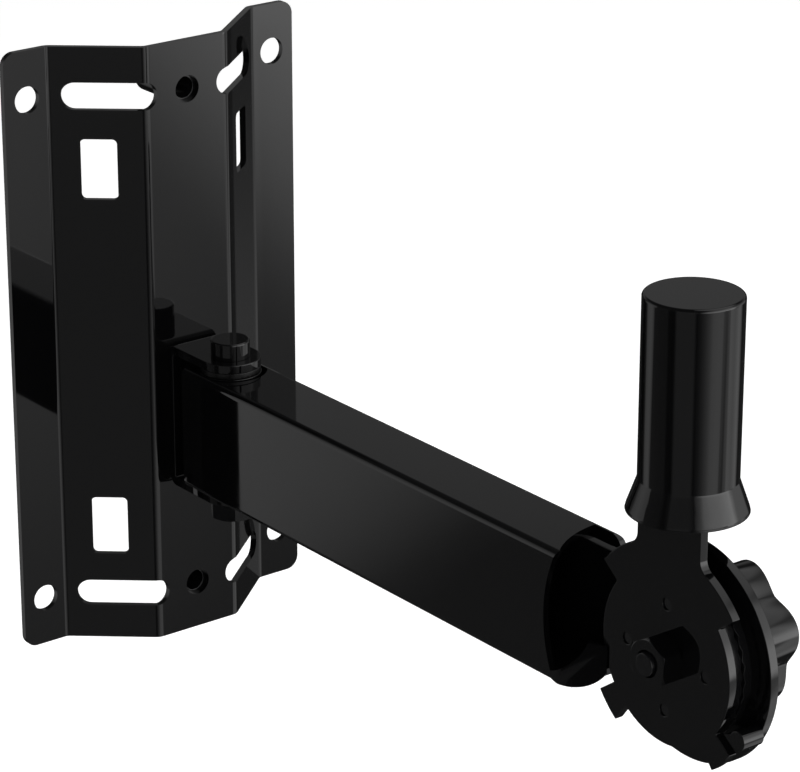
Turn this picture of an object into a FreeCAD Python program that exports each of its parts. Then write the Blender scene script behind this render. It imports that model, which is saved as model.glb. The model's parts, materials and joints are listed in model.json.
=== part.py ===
import FreeCAD, Part
import math
import os
import Sketcher

# Swivelling and tilting wall mount bracket for a loudspeaker with a pole socket.
# X runs along the wall, Y runs into the wall, Z is up. The origin is the middle of
# the plate where its flanges touch the wall, and the arm reaches out towards -Y.

os.makedirs("parts", exist_ok=True)
doc = FreeCAD.newDocument("wall_mount_bracket")

sizes = doc.addObject("Spreadsheet::Sheet", "sizes")
values = [
    # folded wall plate
    ("plateWidth", 137.0), ("plateHeight", 250.0), ("plateThick", 2.5), ("hatDepth", 24.4),
    ("flangeWidth", 20.9), ("faceBend", 18.3), ("bendRadius", 1.6), ("plateCorner", 5.5),
    ("wallHoleEdge", 10.3), ("holeZ", 105.2), ("wallHoleRadius", 5.5), ("strapHoleRadius", 5.5),
    ("slotRadius", 5.5), ("slotInset", 5.6), ("slotEnd", 14.0),
    ("windowWidth", 14.6), ("windowHeight", 24.7), ("windowInset", 12.5), ("windowZ", 75.5),
    ("windowCorner", 2.0),
    # threads and nuts
    ("boltRadius", 5.0), ("tapRadius", 4.25), ("nutAcross", 17.0), ("weldNutRadius", 6.6), ("fitClear", 0.05),
    # hinge at the wall
    ("pivotReach", 53.3), ("bracketWidth", 24.4), ("bracketThick", 3.6), ("bracketBend", 4.2),
    ("spacerThick", 2.3), ("spacerRadius", 12.0), ("endClear", 0.1), ("footClear", 0.1),
    ("headRadius", 7.8), ("headHeight", 7.1), ("headRound", 0.8), ("nutHeight", 8.0), ("boltRunout", 1.0),
    ("boltBevel", 0.8),
    # arm, a rectangular tube
    ("tubeWidth", 29.7), ("tubeHeight", 50.2), ("tubeWall", 2.5), ("tubeCorner", 2.5), ("tubeInner", 0.8),
    ("armDrop", 29.3), ("backClear", 10.0), ("copeRadius", 14.5),
    ("floorEnd", 41.2), ("cheekEnd", 44.2), ("cheekCorner", 6.0),
    ("mouthRadius", 54.3), ("sweepRadius", 43.2), ("sweepX", 15.35), ("sweepBack", 15.8),
    # lip bent in at the lower left of the arm's mouth
    ("lipThick", 2.2), ("lipStart", 46.2), ("lipSwing", 63.1), ("lipRadius", 18.8), ("lipCentre", 3.5),
    ("lipHollow", 27.6), ("hollowBack", 13.6), ("hollowRise", 4.6), ("lipTop", 6.6), ("lipClear", 0.5),
    # tilt joint
    ("tiltReach", 319.2), ("discRadius", 41.0), ("discThick", 3.7), ("tailLength", 84.0), ("tailCorner", 6.0),
    ("sidePlate", 3.5), ("sidePlateX", 5.8), ("rimRadius", 32.5), ("crownRadius", 41.5), ("crownAngle", 37.5),
    ("tabStart", 36.0), ("tabEnd", 53.0), ("neckHalf", 16.0), ("neckRise", 5.2), ("neckFillet", 5.0),
    ("ringRadius", 31.5), ("ringBore", 11.0), ("ringThick", 3.65), ("toothInner", 22.0), ("toothDepth", 0.9),
    ("toothCount", 36), ("toothLand", 0.8), ("meshClear", 0.3),
    ("pegRadius", 2.75), ("pegCircle", 20.0), ("pegSink", 0.6), ("pegClear", 0.05),
    ("pinRadius", 3.6), ("pinCircle", 39.8), ("pinAngle", 28.0), ("pinLength", 9.3),
    ("tiltNutLength", 8.4), ("boltEndSink", 1.0),
    # spigot
    ("spigotX", 2.5), ("spigotRadius", 17.5), ("spigotWall", 2.5), ("spigotTop", 130.7), ("topRound", 1.2),
    ("flareRise", 8.5), ("flareRadius", 20.65), ("footRim", 6.0), ("flareSoft", 3.0),
    ("footHeight", 47.8), ("footRadius", 17.0), ("footRound", 2.2),
    # star knob
    ("washerThick", 1.5), ("washerRadius", 12.0), ("hubRadius", 16.0), ("hubHeight", 1.4),
    ("knobRadius", 32.5), ("knobThick", 15.0), ("scoopRadius", 10.0), ("scoopCircle", 38.8), ("lobeCount", 7),
    ("lobeAngle", 21.3), ("lobeRound", 4.0), ("knobRound", 2.5), ("capRadius", 9.0), ("capSink", 2.0),
    ("boltInKnob", 11.0),
]
for row, (name, value) in enumerate(values, start=1):
    sizes.set("A%d" % row, name)
    sizes.set("B%d" % row, str(value))
    sizes.setAlias("B%d" % row, name)
doc.recompute()


def size(name):
    return float(sizes.get(name))


def bind(item, prop, text):
    # "#name" in a text stands for that size
    item.setExpression(prop, text.replace("#", "sizes."))


def number(text):
    result = sizes.evalExpression(text.replace("#", "sizes."))
    return float(getattr(result, "Value", result))


def place(item, x="0", y="0", z="0"):
    for axis, text in zip("xyz", (x, y, z)):
        if text != "0":
            bind(item, "Placement.Base." + axis, text)
    return item


def along(item, axis):
    # lays a piece that was made along Z along another axis
    if axis == "X":
        item.Placement.Rotation = FreeCAD.Rotation(FreeCAD.Vector(0, 1, 0), 90)
    if axis == "Y":
        item.Placement.Rotation = FreeCAD.Rotation(FreeCAD.Vector(1, 0, 0), -90)
    return item


def makeBody(name):
    return doc.addObject("PartDesign::Body", name)


def sketchOn(body, name, role, offset=None):
    sketch = body.newObject("Sketcher::SketchObject", name)
    plane = [item for item in body.Origin.OriginFeatures if item.Role == role][0]
    sketch.AttachmentSupport = [(plane, "")]
    sketch.MapMode = "FlatFace"
    if offset:
        bind(sketch, "AttachmentOffset.Base.z", offset)
    return sketch


def measure(sketch, kind, geo, pos, text):
    # a signed distance from the sketch's origin, written so that its value stays positive
    value = number(text)
    if abs(value) < 1e-9:
        axis = -2 if kind == "DistanceX" else -1
        sketch.addConstraint(Sketcher.Constraint("PointOnObject", geo, pos, axis))
        return
    if value > 0:
        index = sketch.addConstraint(Sketcher.Constraint(kind, -1, 1, geo, pos, value))
        bind(sketch, "Constraints[%d]" % index, text)
    else:
        index = sketch.addConstraint(Sketcher.Constraint(kind, geo, pos, -1, 1, -value))
        bind(sketch, "Constraints[%d]" % index, "-(" + text + ")")


def point(x, y):
    return FreeCAD.Vector(x, y, 0)


def flatCircle(x, y, radius):
    return Part.Circle(point(x, y), FreeCAD.Vector(0, 0, 1), radius)


def setRadius(sketch, geo, text):
    index = sketch.addConstraint(Sketcher.Constraint("Radius", geo, number(text)))
    bind(sketch, "Constraints[%d]" % index, text)


def polygon(sketch, corners):
    points = [point(number(x), number(y)) for x, y in corners]
    first = sketch.GeometryCount
    count = len(points)
    for index in range(count):
        sketch.addGeometry(Part.LineSegment(points[index], points[(index + 1) % count]))
    for index in range(count):
        sketch.addConstraint(Sketcher.Constraint("Coincident", first + index, 2, first + (index + 1) % count, 1))
    for index, (x, y) in enumerate(corners):
        measure(sketch, "DistanceX", first + index, 1, x)
        measure(sketch, "DistanceY", first + index, 1, y)


def circle(sketch, radius, x="0", y="0"):
    geo = sketch.addGeometry(flatCircle(number(x), number(y), number(radius)))
    measure(sketch, "DistanceX", geo, 3, x)
    measure(sketch, "DistanceY", geo, 3, y)
    setRadius(sketch, geo, radius)


def roundSlot(sketch, x, y, radius, end):
    # a slot with a half-round end about (x, y) and a square end at another x
    cx = number(x)
    cy = number(y)
    r = number(radius)
    ex = number(end)
    start = math.pi / 2 if ex > cx else -math.pi / 2
    arc = sketch.addGeometry(Part.ArcOfCircle(flatCircle(cx, cy, r), start, start + math.pi))
    side = 1 if ex > cx else -1
    corners = [point(cx, cy + side * r), point(ex, cy + side * r), point(ex, cy - side * r), point(cx, cy - side * r)]
    lines = [sketch.addGeometry(Part.LineSegment(corners[i], corners[i + 1])) for i in range(3)]
    join1 = [("Coincident", arc, 1, lines[0], 1), ("Coincident", lines[0], 2, lines[1], 1),
             ("Coincident", lines[1], 2, lines[2], 1), ("Coincident", lines[2], 2, arc, 2),
             ("Vertical", arc, 1, arc, 3), ("Vertical", arc, 2, arc, 3),
             ("Horizontal", lines[0]), ("Horizontal", lines[2]), ("Vertical", lines[1])]
    for rule in join1:
        sketch.addConstraint(Sketcher.Constraint(*rule))
    measure(sketch, "DistanceX", arc, 3, x)
    measure(sketch, "DistanceY", arc, 3, y)
    measure(sketch, "DistanceX", lines[1], 1, end)
    setRadius(sketch, arc, radius)


def roundBox(sketch, left, right, low, high, radius):
    # a rectangle with four round corners
    x0, x1, y0, y1, r = [number(text) for text in (left, right, low, high, radius)]
    ends = [((x0 + r, y0), (x1 - r, y0)), ((x1, y0 + r), (x1, y1 - r)),
            ((x1 - r, y1), (x0 + r, y1)), ((x0, y1 - r), (x0, y0 + r))]
    centres = [(x1 - r, y0 + r), (x1 - r, y1 - r), (x0 + r, y1 - r), (x0 + r, y0 + r)]
    lines = []
    arcs = []
    for index in range(4):
        a, b = ends[index]
        lines.append(sketch.addGeometry(Part.LineSegment(point(*a), point(*b))))
        begin = -math.pi / 2 + index * math.pi / 2
        ring = flatCircle(centres[index][0], centres[index][1], r)
        arcs.append(sketch.addGeometry(Part.ArcOfCircle(ring, begin, begin + math.pi / 2)))
    for index in range(4):
        sketch.addConstraint(Sketcher.Constraint("Tangent", lines[index], 2, arcs[index], 1))
        sketch.addConstraint(Sketcher.Constraint("Tangent", arcs[index], 2, lines[(index + 1) % 4], 1))
        kind = "Horizontal" if index % 2 == 0 else "Vertical"
        sketch.addConstraint(Sketcher.Constraint(kind, lines[index]))
    for index in range(1, 4):
        sketch.addConstraint(Sketcher.Constraint("Equal", arcs[0], arcs[index]))
    measure(sketch, "DistanceY", lines[0], 1, low)
    measure(sketch, "DistanceX", lines[1], 1, right)
    measure(sketch, "DistanceY", lines[2], 1, high)
    measure(sketch, "DistanceX", lines[3], 1, left)
    setRadius(sketch, arcs[0], radius)


def rimGap(sketch, inner, outer, start, end):
    # the area between two circles about the sketch's origin, from one angle to another
    angles = [math.radians(number(start)), math.radians(number(end))]
    arcs = []
    for radius in (inner, outer):
        geo = sketch.addGeometry(Part.ArcOfCircle(flatCircle(0, 0, number(radius)), angles[0], angles[1]))
        sketch.addConstraint(Sketcher.Constraint("Coincident", geo, 3, -1, 1))
        setRadius(sketch, geo, radius)
        arcs.append(geo)
    for pos, text, angle in ((1, start, angles[0]), (2, end, angles[1])):
        ends = [point(math.cos(angle) * number(r), math.sin(angle) * number(r)) for r in (inner, outer)]
        line = sketch.addGeometry(Part.LineSegment(ends[0], ends[1]))
        sketch.addConstraint(Sketcher.Constraint("Coincident", line, 1, arcs[0], pos))
        sketch.addConstraint(Sketcher.Constraint("Coincident", line, 2, arcs[1], pos))
        for geo, radius in zip(arcs, (inner, outer)):
            if abs(math.sin(angle)) > abs(math.cos(angle)):
                measure(sketch, "DistanceX", geo, pos, "(%s) * cos((%s) * 1deg)" % (radius, text))
            else:
                measure(sketch, "DistanceY", geo, pos, "(%s) * sin((%s) * 1deg)" % (radius, text))


def pad(body, name, sketch, length, middle=False):
    feature = body.newObject("PartDesign::Pad", name)
    feature.Profile = sketch
    bind(feature, "Length", length)
    feature.Midplane = middle
    return feature


def pocket(body, name, sketch, depth=None):
    # cuts both ways from the sketch, right through or to half of a given depth each way
    feature = body.newObject("PartDesign::Pocket", name)
    feature.Profile = sketch
    feature.Midplane = True
    if depth is None:
        feature.Type = "ThroughAll"
    else:
        bind(feature, "Length", depth)
    return feature


def dress(body, kind, name, base, chosen, text):
    # rounds or bevels the edges that the test picks out
    doc.recompute()
    names = ["Edge%d" % (index + 1) for index, edge in enumerate(base.Shape.Edges) if chosen(edge)]
    feature = body.newObject("PartDesign::" + kind, name)
    feature.Base = (base, names)
    bind(feature, "Radius" if kind == "Fillet" else "Size", text)
    return feature


def polar(body, name, features, count):
    # repeats features about the body's own Z axis
    axis = [item for item in body.Origin.OriginFeatures if item.Role == "Z_Axis"][0]
    pattern = body.newObject("PartDesign::PolarPattern", name)
    pattern.Originals = features
    pattern.Axis = (axis, [""])
    pattern.Angle = 360
    bind(pattern, "Occurrences", count)
    body.Tip = pattern
    return pattern


def straight(edge, axis):
    if len(edge.Vertexes) != 2:
        return False
    gap = edge.Vertexes[1].Point - edge.Vertexes[0].Point
    return abs(abs(gap[axis]) - gap.Length) < 1e-6 and abs(gap.Length - edge.Length) < 1e-6


def turned(name, corners):
    # a solid turned about its own Z axis from a closed profile of radius and height
    body = makeBody(name)
    sketch = sketchOn(body, name + "_profile", "XZ_Plane")
    polygon(sketch, corners)
    feature = body.newObject("PartDesign::Revolution", name + "_turn")
    feature.Profile = sketch
    feature.ReferenceAxis = (sketch, ["V_Axis"])
    feature.Angle = 360
    return body, feature


def box(name, length, width, height, x="0", y="0", z="0"):
    item = doc.addObject("Part::Box", name)
    bind(item, "Length", length)
    bind(item, "Width", width)
    bind(item, "Height", height)
    return place(item, x, y, z)


def rod(name, radius, length, x="0", y="0", z="0", axis="Z"):
    item = doc.addObject("Part::Cylinder", name)
    bind(item, "Radius", radius)
    bind(item, "Height", length)
    return place(along(item, axis), x, y, z)


def pair(kind, name, base, tool):
    item = doc.addObject("Part::" + kind, name)
    item.Base = base
    item.Tool = tool
    return item


def gather(kind, name, items):
    item = doc.addObject("Part::" + kind, name)
    item.Shapes = items
    return item


def hexNut(name, across, height, bore):
    # a hexagon nut along its own Z, with both ends bevelled at 30 degrees
    prism = doc.addObject("Part::Prism", name + "_hexagon")
    prism.Polygon = 6
    bind(prism, "Circumradius", across + " / 2 / cos(30deg)")
    bind(prism, "Height", height)
    bevels = []
    for tag in ("low", "high"):
        cone = doc.addObject("Part::Cone", name + "_bevel_" + tag)
        wide = across + " / 2 + (" + height + ") / tan(30deg)"
        bind(cone, "Radius1", across + " / 2" if tag == "low" else wide)
        bind(cone, "Radius2", wide if tag == "low" else across + " / 2")
        bind(cone, "Height", height)
        bevels.append(cone)
    blank = gather("MultiCommon", name + "_blank", [prism] + bevels)
    return pair("Cut", name, blank, rod(name + "_bore", bore, height))


pieces = []

# Wall plate: one folded sheet with two flanges on the wall, two sloping webs and a
# centre face. The web makes this angle with the wall.
flangeBend = "(#plateWidth / 2 - #flangeWidth)"
webAngle = "atan2(#hatDepth; " + flangeBend + " - #faceBend)"
bendShift = "#plateThick * tan(" + webAngle + " / 2)"
plate = makeBody("wall_plate")
profile = sketchOn(plate, "plate_profile", "XY_Plane")
polygon(profile, [
    ("#plateWidth / 2", "0"), (flangeBend, "0"), ("#faceBend", "-#hatDepth"),
    ("-#faceBend", "-#hatDepth"), ("-" + flangeBend, "0"), ("-#plateWidth / 2", "0"),
    ("-#plateWidth / 2", "-#plateThick"), ("-" + flangeBend + " - " + bendShift, "-#plateThick"),
    ("-#faceBend - " + bendShift, "-#hatDepth - #plateThick"),
    ("#faceBend + " + bendShift, "-#hatDepth - #plateThick"),
    (flangeBend + " + " + bendShift, "-#plateThick"), ("#plateWidth / 2", "-#plateThick"),
])
folded = pad(plate, "folded_sheet", profile, "#plateHeight", middle=True)


def bendEdge(edge):
    return straight(edge, 2) and abs(edge.CenterOfMass.x) < size("plateWidth") / 2 - 1


def cornerEdge(edge):
    return straight(edge, 1) and abs(abs(edge.CenterOfMass.x) - size("plateWidth") / 2) < 0.01


bends = dress(plate, "Fillet", "bend_rounds", folded, bendEdge, "#bendRadius")
corners = dress(plate, "Fillet", "flange_corners", bends, cornerEdge, "#plateCorner")
drill = sketchOn(plate, "plate_holes", "XZ_Plane")
wallHoleX = "(#plateWidth / 2 - #wallHoleEdge)"
for level in ("-#holeZ", "#holeZ"):
    circle(drill, "#strapHoleRadius", "0", level)
    for side in ("-" + wallHoleX, wallHoleX):
        circle(drill, "#wallHoleRadius", side, level)
    roundSlot(drill, "#slotEnd + #slotRadius", level, "#slotRadius", "#slotEnd + #slotRadius + 1.5")
    roundSlot(drill, "-#slotEnd - #slotRadius", level, "#slotRadius", "-#slotEnd - #slotRadius - 1.5")
pocket(plate, "hole_cut", drill)
# slots and windows are punched square to the sloping webs
webLength = "(" + flangeBend + " - #faceBend) / cos(" + webAngle + ")"
for side, sign in (("left", ""), ("right", "-")):
    web = sketchOn(plate, "web_" + side, "XZ_Plane")
    rotation = FreeCAD.Rotation(FreeCAD.Vector(0, -1 if side == "left" else 1, 0), number(webAngle))
    web.AttachmentOffset = FreeCAD.Placement(FreeCAD.Vector(0, 0, 0), rotation)
    bind(web, "AttachmentOffset.Base.x", "-" + flangeBend if side == "left" else flangeBend)
    bind(web, "AttachmentOffset.Rotation.Angle", webAngle)
    for up in ("", "-"):
        near = sign + "#windowInset"
        far = sign + "#windowInset" + (" + " if side == "left" else " - ") + "#windowWidth"
        low = up + "#windowZ - #windowHeight / 2"
        high = up + "#windowZ + #windowHeight / 2"
        edges = (near, far) if side == "left" else (far, near)
        roundBox(web, edges[0], edges[1], low, high, "#windowCorner")
        centre = sign + "(#slotInset + #slotRadius)"
        roundSlot(web, centre, up + "#holeZ", "#slotRadius", sign + webLength)
    webCut = pocket(plate, "web_cut_" + side, web, "#hatDepth / 2")
plate.Tip = webCut
pieces.append(plate)

# Long round weld nuts from the two holes of the centre face back to the wall.
for tag, up in (("top", ""), ("bottom", "-")):
    name = "weld_nut_" + tag
    nut = pair("Cut", name, rod(name + "_barrel", "#weldNutRadius", "#hatDepth"),
               rod(name + "_bore", "#tapRadius", "#hatDepth"))
    pieces.append(place(along(nut, "Y"), "0", "-#hatDepth", up + "#holeZ"))

# Hinge bracket: a bent channel on the centre face with two round ears about the pivot.
tubeTop = "(#tubeHeight / 2 - #armDrop)"
tubeLow = "(-#tubeHeight / 2 - #armDrop)"
earLow = "(" + tubeTop + " + #endClear + #spacerThick)"
earTop = "(" + earLow + " + #bracketThick)"
footTop = "(" + tubeLow + " - #footClear)"
footLow = "(" + footTop + " - #bracketThick)"
backFace = "(-#hatDepth - #plateThick)"
earEnd = "(-#pivotReach - #bracketWidth / 2)"
bracket = makeBody("bracket_channel")
channel = sketchOn(bracket, "channel_profile", "YZ_Plane")
polygon(channel, [
    (backFace, earTop), (earEnd, earTop), (earEnd, earLow), (backFace + " - #bracketThick", earLow),
    (backFace + " - #bracketThick", footTop), (earEnd, footTop), (earEnd, footLow), (backFace, footLow),
])
channelPad = pad(bracket, "channel_sheet", channel, "#bracketWidth", middle=True)


def outerBend(edge):
    return straight(edge, 0) and abs(edge.CenterOfMass.y - number(backFace)) < 0.01


def innerBend(edge):
    return straight(edge, 0) and abs(edge.CenterOfMass.y - number(backFace) + size("bracketThick")) < 0.01


outside = dress(bracket, "Fillet", "outer_bends", channelPad, outerBend, "#bracketBend")
bracket.Tip = dress(bracket, "Fillet", "inner_bends", outside, innerBend, "#bracketBend - #bracketThick")
span = "(" + earTop + " - " + footLow + ")"
earRound = rod("ear_round", "#bracketWidth / 2", span, "0", "-#pivotReach", footLow)
earBase = box("ear_base", "#bracketWidth", "#pivotReach + " + backFace, span, "-#bracketWidth / 2", "-#pivotReach",
              footLow)
earShape = gather("MultiFuse", "ear_outline", [earRound, earBase])
ears = pair("Common", "bracket_ears", bracket, earShape)
earBore = rod("ear_bore", "#boltRadius + #fitClear", span, "0", "-#pivotReach", footLow)
hinge = pair("Cut", "hinge_bracket", ears, earBore)
pieces.append(hinge)

# Pivot bolt down through both ears, with its nut and the spacer above the arm.
pivot, pivotTurn = turned("pivot_bolt", [
    ("0", "#headHeight"), ("#headRadius", "#headHeight"), ("#headRadius", "0"), ("#boltRadius", "0"),
    ("#boltRadius", "-" + span + " - #nutHeight - #boltRunout + #boltBevel"),
    ("#boltRadius - #boltBevel", "-" + span + " - #nutHeight - #boltRunout"),
    ("0", "-" + span + " - #nutHeight - #boltRunout"),
])


def headRim(edge):
    centre = edge.CenterOfMass
    round = len(edge.Vertexes) == 1 and abs(edge.Length - 2 * math.pi * size("headRadius")) < 0.01
    return round and abs(centre.z - size("headHeight")) < 0.01


pivot.Tip = dress(pivot, "Fillet", "head_round", pivotTurn, headRim, "#headRound")
pieces.append(place(pivot, "0", "-#pivotReach", earTop))
pivotNut = hexNut("pivot_nut", "#nutAcross", "#nutHeight", "#boltRadius + #fitClear")
pieces.append(place(pivotNut, "0", "-#pivotReach", footLow + " - #nutHeight"))
spacer = pair("Cut", "spacer_washer", rod("spacer_disc", "#spacerRadius", "#spacerThick"),
              rod("spacer_bore", "#boltRadius + #fitClear", "#spacerThick"))
pieces.append(place(spacer, "0", "-#pivotReach", earLow + " - #spacerThick"))

# Arm: a rectangular tube, coped round the pivot at the wall end, with a swept mouth.
arm = makeBody("arm_section")
tubeBack = "(" + backFace + " - #bracketThick - #backClear)"
tubeFront = "(-#tiltReach + #cheekEnd)"
floorFront = "(-#tiltReach + #floorEnd)"
section = sketchOn(arm, "tube_section", "XZ_Plane", "-" + tubeBack)
roundBox(section, "-#tubeWidth / 2", "#tubeWidth / 2", tubeLow, tubeTop, "#tubeCorner")
roundBox(section, "-#tubeWidth / 2 + #tubeWall", "#tubeWidth / 2 - #tubeWall", tubeLow + " + #tubeWall",
         tubeTop + " - #tubeWall", "#tubeInner")
tubeLong = pad(arm, "tube_length", section, tubeBack + " - " + floorFront)
cope = sketchOn(arm, "cope_outline", "XY_Plane")
innerHalf = "(#tubeWidth / 2 - #tubeWall)"
copeY = "(-#pivotReach - sqrt(#copeRadius * #copeRadius - " + innerHalf + " * " + innerHalf + "))"
xi = number(innerHalf)
yi = number(copeY)
yb = number(tubeBack) + 1
reach = math.atan2(yi + size("pivotReach"), xi)
arcLine = cope.addGeometry(Part.ArcOfCircle(flatCircle(0, -size("pivotReach"), size("copeRadius")),
                                            math.pi - reach, 2 * math.pi + reach))
copeLines = [cope.addGeometry(Part.LineSegment(point(xi, yi), point(xi, yb))),
             cope.addGeometry(Part.LineSegment(point(xi, yb), point(-xi, yb))),
             cope.addGeometry(Part.LineSegment(point(-xi, yb), point(-xi, yi)))]
for rule in (("Coincident", arcLine, 2, copeLines[0], 1), ("Coincident", copeLines[0], 2, copeLines[1], 1),
             ("Coincident", copeLines[1], 2, copeLines[2], 1), ("Coincident", copeLines[2], 2, arcLine, 1),
             ("Vertical", copeLines[0]), ("Vertical", copeLines[2]), ("Horizontal", copeLines[1]),
             ("PointOnObject", arcLine, 3, -2)):
    cope.addConstraint(Sketcher.Constraint(*rule))
measure(cope, "DistanceY", arcLine, 3, "-#pivotReach")
setRadius(cope, arcLine, "#copeRadius")
measure(cope, "DistanceX", copeLines[0], 1, innerHalf)
measure(cope, "DistanceX", copeLines[2], 1, "-" + innerHalf)
measure(cope, "DistanceY", copeLines[1], 1, tubeBack + " + 1")
arm.Tip = pocket(arm, "cope_cut", cope)

# The left wall ends on a circle about the tilt axis, the roof on an upright sweep, and
# the right wall on a cheek with two round corners.
mouthSide = rod("mouth_left", "#mouthRadius", "#tubeWall + 1", "-#tubeWidth / 2 - 1", "-#tiltReach", "-#armDrop", "X")
sweep = rod("mouth_sweep", "#sweepRadius", "#tubeHeight", "#sweepX", "-#tiltReach + #sweepBack", "-#armDrop")
sweepZone = box("mouth_zone", "2 * " + innerHalf, "#sweepRadius + #sweepBack", "#tubeHeight", "-" + innerHalf,
                "-#tiltReach + #sweepBack", "-#armDrop")
mouthRoof = pair("Common", "mouth_roof", sweep, sweepZone)
cheekX = innerHalf
cheekCut = box("cheek_zone", "#tubeWall + 1", "#cheekCorner + 20", "#tubeHeight + 2", cheekX,
               tubeFront + " - 20", tubeLow + " - 1")
cheekParts = [box("cheek_middle", "#tubeWall + 1", "#cheekCorner", "#tubeHeight - 2 * #cheekCorner", cheekX,
                  tubeFront, tubeLow + " + #cheekCorner")]
for tag, level in (("low", tubeLow + " + #cheekCorner"), ("high", tubeTop + " - #cheekCorner")):
    cheekParts.append(rod("cheek_" + tag, "#cheekCorner", "#tubeWall + 1", cheekX, tubeFront + " + #cheekCorner",
                          level, "X"))
cheekKeep = gather("MultiFuse", "cheek_outline", cheekParts)
cheekWaste = pair("Cut", "cheek_waste", cheekCut, cheekKeep)
mouthCutters = gather("MultiFuse", "mouth_cutters", [mouthSide, mouthRoof, cheekWaste])
tube = pair("Cut", "tube_with_mouth", arm, mouthCutters)

# Lip: a curved tongue of sheet that starts at the lower left corner of the mouth and
# leans in towards the tilt joint.
lipLow = "(#lipRadius - #tubeHeight / 2 - #armDrop)"
lipDisc = rod("lip_disc", "#lipRadius", "#lipThick", "#lipCentre", "0", lipLow, "Y")
lipHole = rod("lip_hollow", "#lipHollow", "#lipThick + 2", "-#hollowBack", "-1", "-#armDrop + #hollowRise", "Y")
lipRoof = box("lip_roof", "80", "#lipThick + 2", "60", "-40", "-1", "-#armDrop - #lipTop")
lipBlank = pair("Cut", "lip_blank", lipDisc, gather("MultiFuse", "lip_waste", [lipHole, lipRoof]))
lipBlank.Placement.Rotation = FreeCAD.Rotation(FreeCAD.Vector(0, 0, -1), size("lipSwing"))
bind(lipBlank, "Placement.Rotation.Angle", "#lipSwing * 1deg")
place(lipBlank, "-#tubeWidth / 2", "-#tiltReach + #lipStart")
lipZone = box("lip_zone", "#tubeWidth / 2 - #sidePlateX - #lipClear", "80", "#tubeHeight", "-#tubeWidth / 2",
              "-#tiltReach", tubeLow)
lip = pair("Common", "lip", lipBlank, lipZone)
armTube = gather("MultiFuse", "arm_tube", [tube, lip])
pieces.append(armTube)

# Pivot sleeve welded between the side walls of the arm.
sleeve = pair("Cut", "pivot_sleeve", rod("sleeve_tube", innerHalf, "#tubeHeight"),
              rod("sleeve_bore", "#boltRadius + #fitClear", "#tubeHeight"))
pieces.append(place(sleeve, "0", "-#pivotReach", tubeLow))

# Arm disc: its tail is welded between the roof and the floor of the arm.
leftX = "(-#sidePlateX + #sidePlate)"
discX = "(" + leftX + " + 2 * #ringThick + #meshClear)"
disc = makeBody("arm_disc")
tailHalf = "(#tubeHeight / 2 - #tubeWall)"
tail = sketchOn(disc, "tail_outline", "YZ_Plane")
polygon(tail, [("0", "-" + tailHalf), ("#tailLength", "-" + tailHalf), ("#tailLength", tailHalf), ("0", tailHalf)])
tailPad = pad(disc, "tail_plate", tail, "#discThick")


def tailEdge(edge):
    return straight(edge, 0) and abs(edge.CenterOfMass.y - size("tailLength")) < 0.01


dress(disc, "Fillet", "tail_corners", tailPad, tailEdge, "#tailCorner")
head = sketchOn(disc, "disc_outline", "YZ_Plane")
circle(head, "#discRadius")
pad(disc, "disc_plate", head, "#discThick")
discHoles = sketchOn(disc, "disc_holes", "YZ_Plane")
circle(discHoles, "#boltRadius + #fitClear")
pegPlaces = [("0", "#pegCircle"), ("0", "-#pegCircle"), ("#pegCircle", "0"), ("-#pegCircle", "0")]
for y, z in pegPlaces:
    circle(discHoles, "#pegRadius + #pegClear", y, z)
disc.Tip = pocket(disc, "disc_hole_cut", discHoles)
pieces.append(place(disc, discX, "-#tiltReach", "-#armDrop"))

# Tilt plate: a rim with a wide crown and two tabs that meet the stop pin, and a neck
# that rises into the spigot.
side = makeBody("tilt_plate")
outline = sketchOn(side, "crown_outline", "YZ_Plane")
circle(outline, "#crownRadius")
pad(side, "crown_plate", outline, "#sidePlate")
gaps = sketchOn(side, "rim_gaps", "YZ_Plane")
beyond = "#crownRadius + 2"
rimGap(gaps, "#rimRadius", beyond, "180 - #crownAngle", "180 + #tabStart")
rimGap(gaps, "#rimRadius", beyond, "180 + #tabEnd", "360 - #tabEnd")
rimGap(gaps, "#rimRadius", beyond, "360 - #tabStart", "360 + #crownAngle")
pocket(side, "rim_gap_cut", gaps)
neckTop = "(#footHeight + #neckRise)"
neck = sketchOn(side, "neck_outline", "YZ_Plane")
polygon(neck, [("-#neckHalf", "0"), ("#neckHalf", "0"), ("#neckHalf", neckTop), ("-#neckHalf", neckTop)])
neckPad = pad(side, "neck_plate", neck, "#sidePlate")


def neckEdge(edge):
    centre = edge.CenterOfMass
    shoulder = math.sqrt(size("crownRadius") ** 2 - size("neckHalf") ** 2)
    return straight(edge, 0) and abs(centre.z - shoulder) < 0.05 and abs(abs(centre.y) - size("neckHalf")) < 0.05


dress(side, "Fillet", "neck_fillets", neckPad, neckEdge, "#neckFillet")
sideHoles = sketchOn(side, "side_holes", "YZ_Plane")
circle(sideHoles, "#boltRadius + #fitClear")
for y, z in pegPlaces:
    circle(sideHoles, "#pegRadius + #pegClear", y, z)
side.Tip = pocket(side, "side_hole_cut", sideHoles)
pieces.append(place(side, "-#sidePlateX", "-#tiltReach", "-#armDrop"))


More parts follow.
